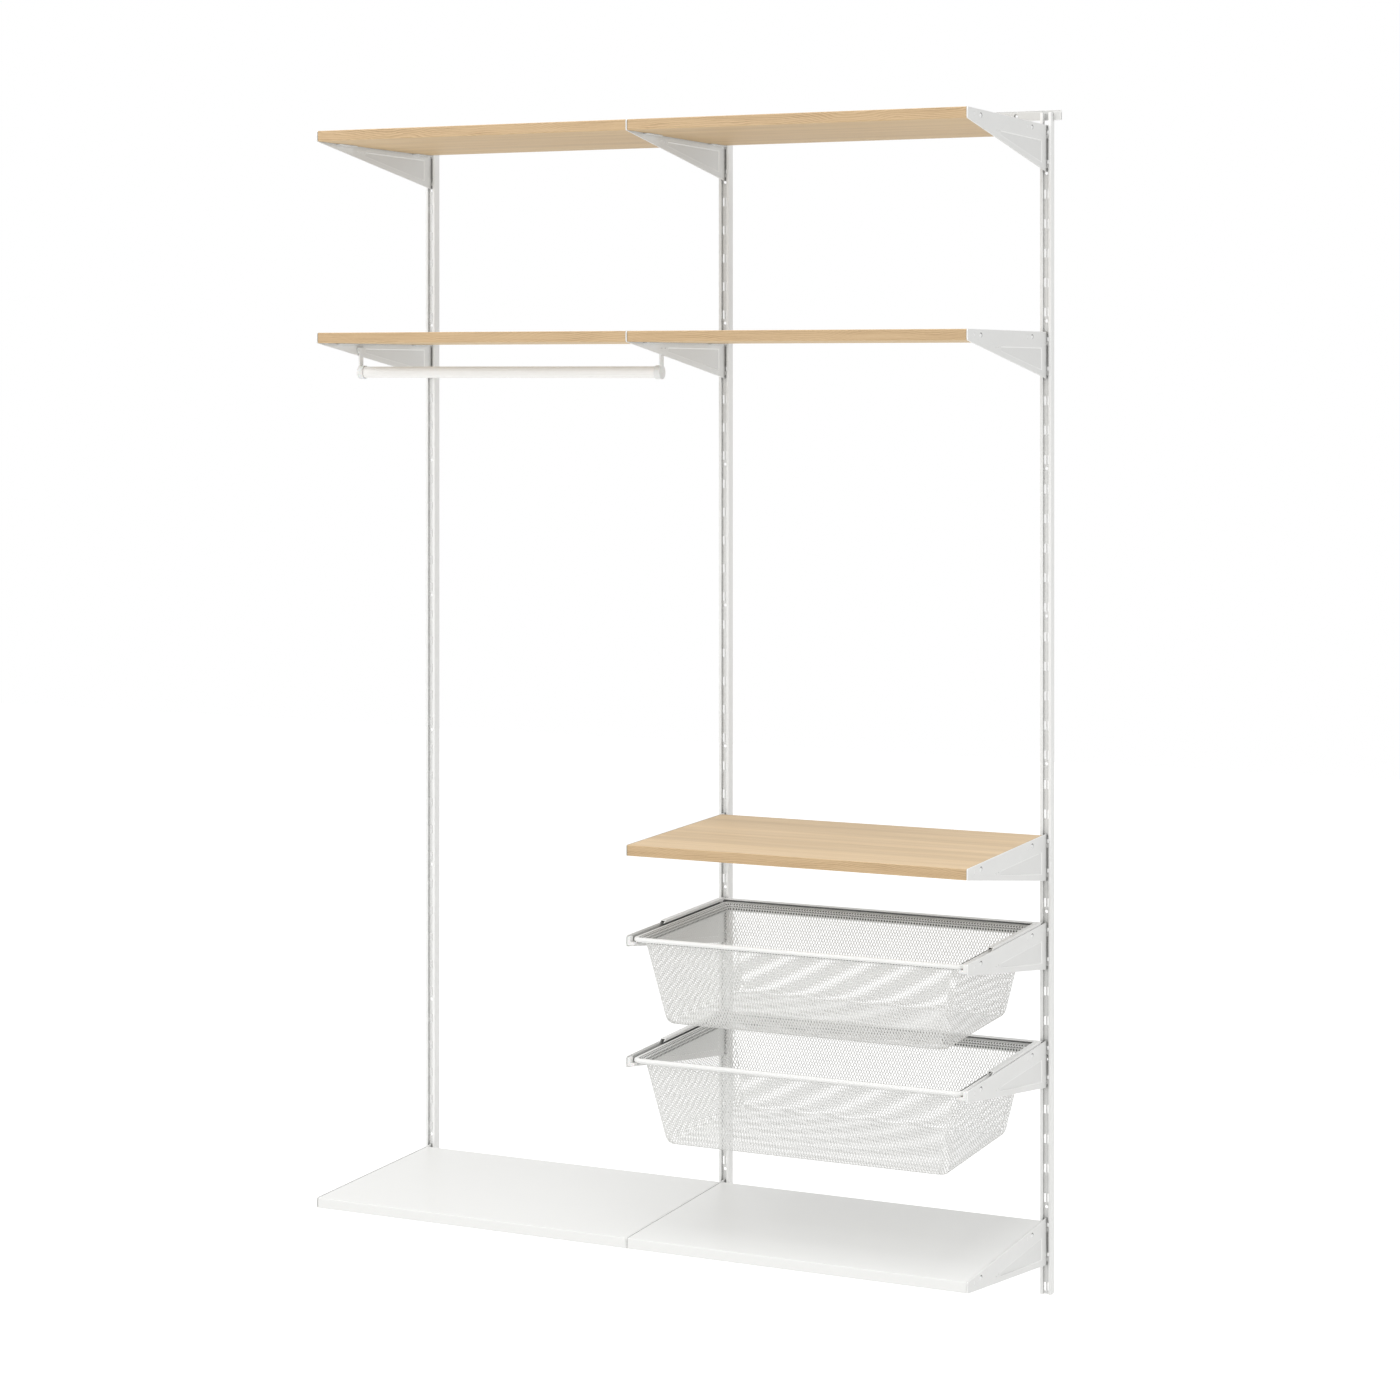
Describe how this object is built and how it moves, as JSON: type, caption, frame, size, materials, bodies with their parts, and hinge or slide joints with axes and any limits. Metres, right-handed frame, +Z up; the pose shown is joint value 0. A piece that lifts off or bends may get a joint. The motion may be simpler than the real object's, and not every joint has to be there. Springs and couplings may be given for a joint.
{
  "type": "wall mounted closet system",
  "caption": "Slotted wall uprights on a hanging rail with hook-in brackets, oak and white shelves, a clothes rail and mesh baskets that slide out on runners.",
  "frame": {"origin": "on the wall plane, at the lower end of the middle upright, on that upright's centre line", "axes": "+X along the wall to the right as seen from the room, +Y into the wall, +Z up"},
  "size_m": [1.2474, 0.4, 2.005],
  "materials": {
    "powder_coated_white_steel": "satin white powder coat",
    "smooth_white_shelf_coating": "smooth semi-gloss white",
    "white_stained_oak_veneer": "pale stained oak veneer, matt lacquer",
    "white_runner_plastic": "satin white plastic",
    "warm_white_rail_lacquer": "warm white lacquer"
  },
  "bodies": {
    "wall_frame": {"bracket_basket_lower_middle": "powder_coated_white_steel", "bracket_basket_lower_right": "powder_coated_white_steel", "bracket_basket_upper_middle": "powder_coated_white_steel", "bracket_basket_upper_right": "powder_coated_white_steel", "bracket_bottom_left": "powder_coated_white_steel", "bracket_bottom_middle": "powder_coated_white_steel", "bracket_bottom_right": "powder_coated_white_steel", "bracket_second_left": "powder_coated_white_steel", "bracket_second_middle": "powder_coated_white_steel", "bracket_second_right": "powder_coated_white_steel", "bracket_third_middle": "powder_coated_white_steel", "bracket_third_right": "powder_coated_white_steel", "bracket_top_left": "powder_coated_white_steel", "bracket_top_middle": "powder_coated_white_steel", "bracket_top_right": "powder_coated_white_steel", "clothes_rail_tube": "warm_white_rail_lacquer", "hanging_rail_left": "powder_coated_white_steel", "hanging_rail_right": "powder_coated_white_steel", "oak_shelf_second_left": "white_stained_oak_veneer", "oak_shelf_second_right": "white_stained_oak_veneer", "oak_shelf_third_right": "white_stained_oak_veneer", "oak_shelf_top_left": "white_stained_oak_veneer", "oak_shelf_top_right": "white_stained_oak_veneer", "rail_hanger_left": "white_runner_plastic", "rail_hanger_right": "white_runner_plastic", "runner_back_lower": "powder_coated_white_steel", "runner_back_upper": "powder_coated_white_steel", "runner_cap_lower_left": "white_runner_plastic", "runner_cap_lower_right": "white_runner_plastic", "runner_cap_upper_left": "white_runner_plastic", "runner_cap_upper_right": "white_runner_plastic", "runner_lower_left": "powder_coated_white_steel", "runner_lower_right": "powder_coated_white_steel", "runner_upper_left": "powder_coated_white_steel", "runner_upper_right": "powder_coated_white_steel", "upright_left": "powder_coated_white_steel", "upright_middle": "powder_coated_white_steel", "upright_right": "powder_coated_white_steel", "white_shelf_bottom_left": "smooth_white_shelf_coating", "white_shelf_bottom_right": "smooth_white_shelf_coating"},
    "basket_upper": {"basket_upper_rim": "powder_coated_white_steel", "basket_upper_pan": "powder_coated_white_steel"},
    "basket_lower": {"basket_lower_rim": "powder_coated_white_steel", "basket_lower_pan": "powder_coated_white_steel"}
  },
  "joints": [
    {"name": "basket_upper_slide", "type": "slide", "parent": "wall_frame", "child": "basket_upper", "axis": [0, -1, 0], "range_m": [0, 0.24]},
    {"name": "basket_lower_slide", "type": "slide", "parent": "wall_frame", "child": "basket_lower", "axis": [0, -1, 0], "range_m": [0, 0.24]}
  ]
}
